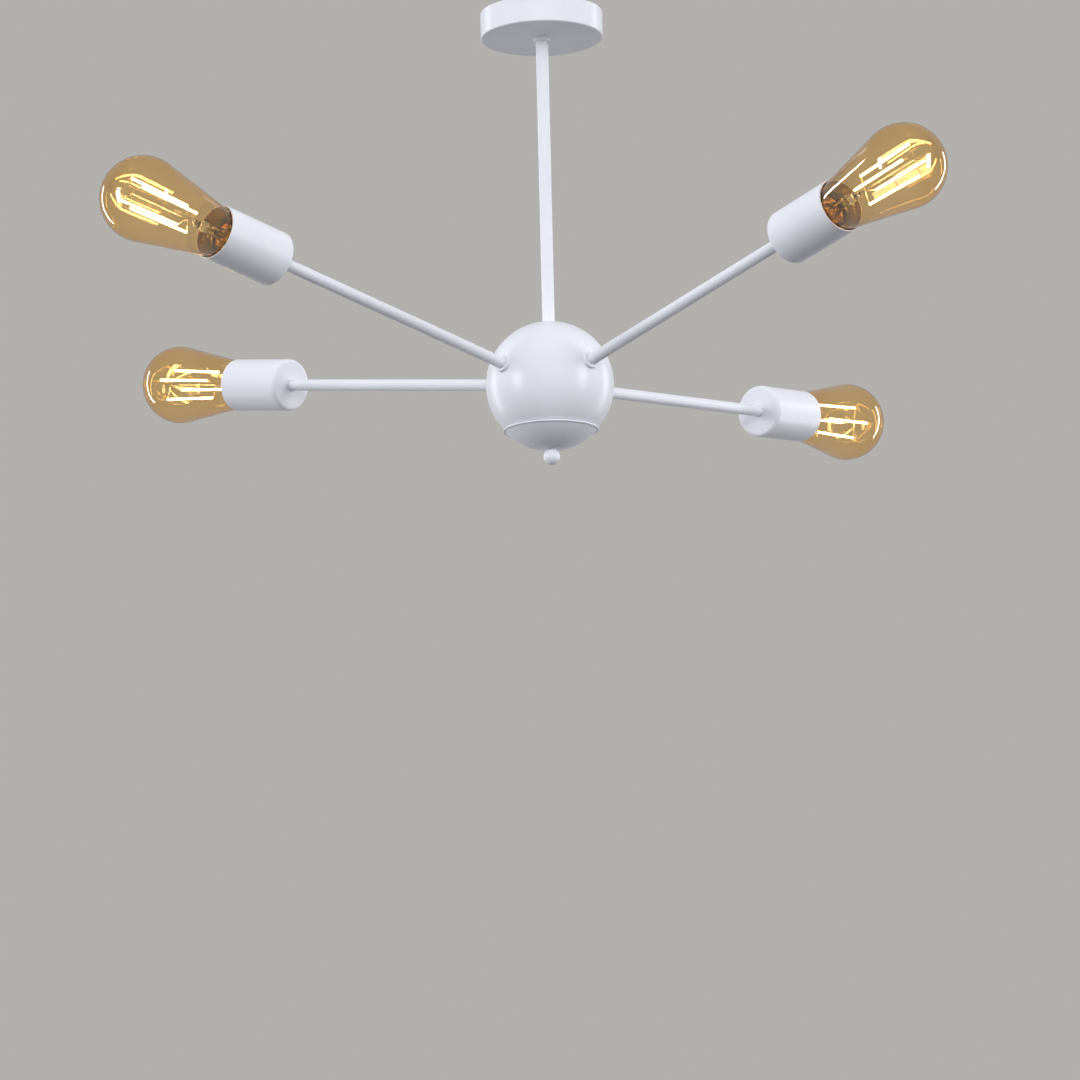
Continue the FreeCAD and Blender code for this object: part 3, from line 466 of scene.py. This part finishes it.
def add_camera():
    """The photograph's camera, found by fitting the ball, the covers and the bulbs."""
    focal_px = 5149.0
    frame_px = 1080.0
    sensor = 36.0
    place = HUB_CENTRE + Vector((-0.0025, -4.0016, -0.9386))
    yaw, pitch, roll = math.radians(-0.12), math.radians(11.48), math.radians(-1.33)
    ahead = Vector((math.sin(yaw) * math.cos(pitch), math.cos(yaw) * math.cos(pitch), math.sin(pitch)))
    right = Vector((math.cos(yaw), -math.sin(yaw), 0))
    up = right.cross(ahead)
    turned_right = right * math.cos(roll) + up * math.sin(roll)
    turned_up = -right * math.sin(roll) + up * math.cos(roll)
    camera = bpy.data.objects.new("camera", bpy.data.cameras.new("camera"))
    camera.data.sensor_width = sensor
    camera.data.lens = focal_px / frame_px * sensor
    camera.data.clip_end = 50
    turn = Matrix((turned_right, turned_up, -ahead)).transposed().to_4x4()
    camera.matrix_world = Matrix.Translation(place) @ turn
    bpy.context.scene.collection.objects.link(camera)
    bpy.context.scene.camera = camera


def add_softbox(name, place, width, height, power, mirrored):
    """An area lamp that faces the hub; only a mirrored one shows on glossy surfaces and through glass."""
    data = bpy.data.lights.new(name, "AREA")
    data.shape = "RECTANGLE"
    data.size = width
    data.size_y = height
    data.energy = power
    data.color = COOL
    lamp = bpy.data.objects.new(name, data)
    lamp.location = HUB_CENTRE + Vector(place)
    lamp.rotation_euler = (-Vector(place)).to_track_quat("-Z", "Y").to_euler()
    lamp.visible_camera = False
    lamp.visible_glossy = mirrored
    lamp.visible_transmission = mirrored
    bpy.context.scene.collection.objects.link(lamp)


def add_lights():
    """Soft boxes overhead, low at the back, behind the camera and at both sides."""
    add_softbox("overhead", (0, 0.1, 2.2), width=1.8, height=1.6, power=5, mirrored=False)
    add_softbox("low_back", (-0.4, 1.6, -1.55), width=2.2, height=1.4, power=15, mirrored=False)
    add_softbox("behind_camera", (0, -4.6, 0.9), width=3.2, height=1.8, power=62, mirrored=False)
    for side, sign in (("left", -1), ("right", 1)):
        box = (2.15 * sign, -1.25, 0.18)
        strip = (2.1 * sign, 1.2, 0.1)
        add_softbox(side + "_box", box, width=0.45, height=1.2, power=19, mirrored=True)
        add_softbox(side + "_strip", strip, width=0.18, height=2.0, power=13, mirrored=True)


def seen_mix(tree):
    """A mix of A for scattered light and B for what is seen, plainly, mirrored or through glass."""
    path = tree.nodes.new("ShaderNodeLightPath")
    is_seen = path.outputs["Is Camera Ray"]
    for ray in ("Is Transmission Ray", "Is Glossy Ray"):
        either = tree.nodes.new("ShaderNodeMath")
        either.operation = "MAXIMUM"
        tree.links.new(is_seen, either.inputs[0])
        tree.links.new(path.outputs[ray], either.inputs[1])
        is_seen = either.outputs[0]
    mix = tree.nodes.new("ShaderNodeMix")
    mix.data_type = "RGBA"
    tree.links.new(is_seen, mix.inputs["Factor"])
    return mix


def add_world():
    """A bright band round the horizon lights the surfaces; camera, mirrors and glass see plain grey."""
    world = bpy.data.worlds.new("studio")
    world.use_nodes = True
    tree = world.node_tree
    place = tree.nodes.new("ShaderNodeTexCoord")
    split = tree.nodes.new("ShaderNodeSeparateXYZ")
    height = tree.nodes.new("ShaderNodeMapRange")
    height.inputs["From Min"].default_value = -1
    band = tree.nodes.new("ShaderNodeValToRGB")
    shades = band.color_ramp.elements
    for position, level in BAND_LEVELS:
        shade = shades.new(position)
        shade.color = (*(BAND * level * part for part in COOL), 1)
    # straight down and straight up take the shade of the nearest height
    shades[0].color = shades[1].color
    shades[len(shades) - 1].color = shades[len(shades) - 2].color
    mix = seen_mix(tree)
    mix.inputs["B"].default_value = (*BACKGROUND_SEEN, 1)
    tree.links.new(place.outputs["Generated"], split.inputs["Vector"])
    tree.links.new(split.outputs["Z"], height.inputs["Value"])
    tree.links.new(height.outputs["Result"], band.inputs["Fac"])
    tree.links.new(band.outputs["Color"], mix.inputs["A"])
    tree.links.new(mix.outputs["Result"], tree.nodes["Background"].inputs["Color"])
    bpy.context.scene.world = world


def add_floor():
    """A plain pale floor well below the light."""
    bpy.ops.mesh.primitive_plane_add(size=2 * FLOOR_REACH, location=(0, 0, -FLOOR_DROP))
    floor = bpy.context.object
    floor.name = "floor"
    material, tree, shader = new_material("floor_paint")
    mix = seen_mix(tree)
    mix.inputs["A"].default_value = (*FLOOR_SCATTERED, 1)
    mix.inputs["B"].default_value = (*FLOOR_SEEN, 1)
    tree.links.new(mix.outputs["Result"], shader.inputs["Base Color"])
    shader.inputs["Roughness"].default_value = 0.9
    floor.data.materials.append(material)


bpy.context.scene.view_settings.view_transform = "Standard"
dress_cad_nodes()
add_glass()
add_bulb_caps()
add_mounts()
add_screw_shells()
add_camera()
add_lights()
add_world()
add_floor()

bpy.context.view_layer.update()
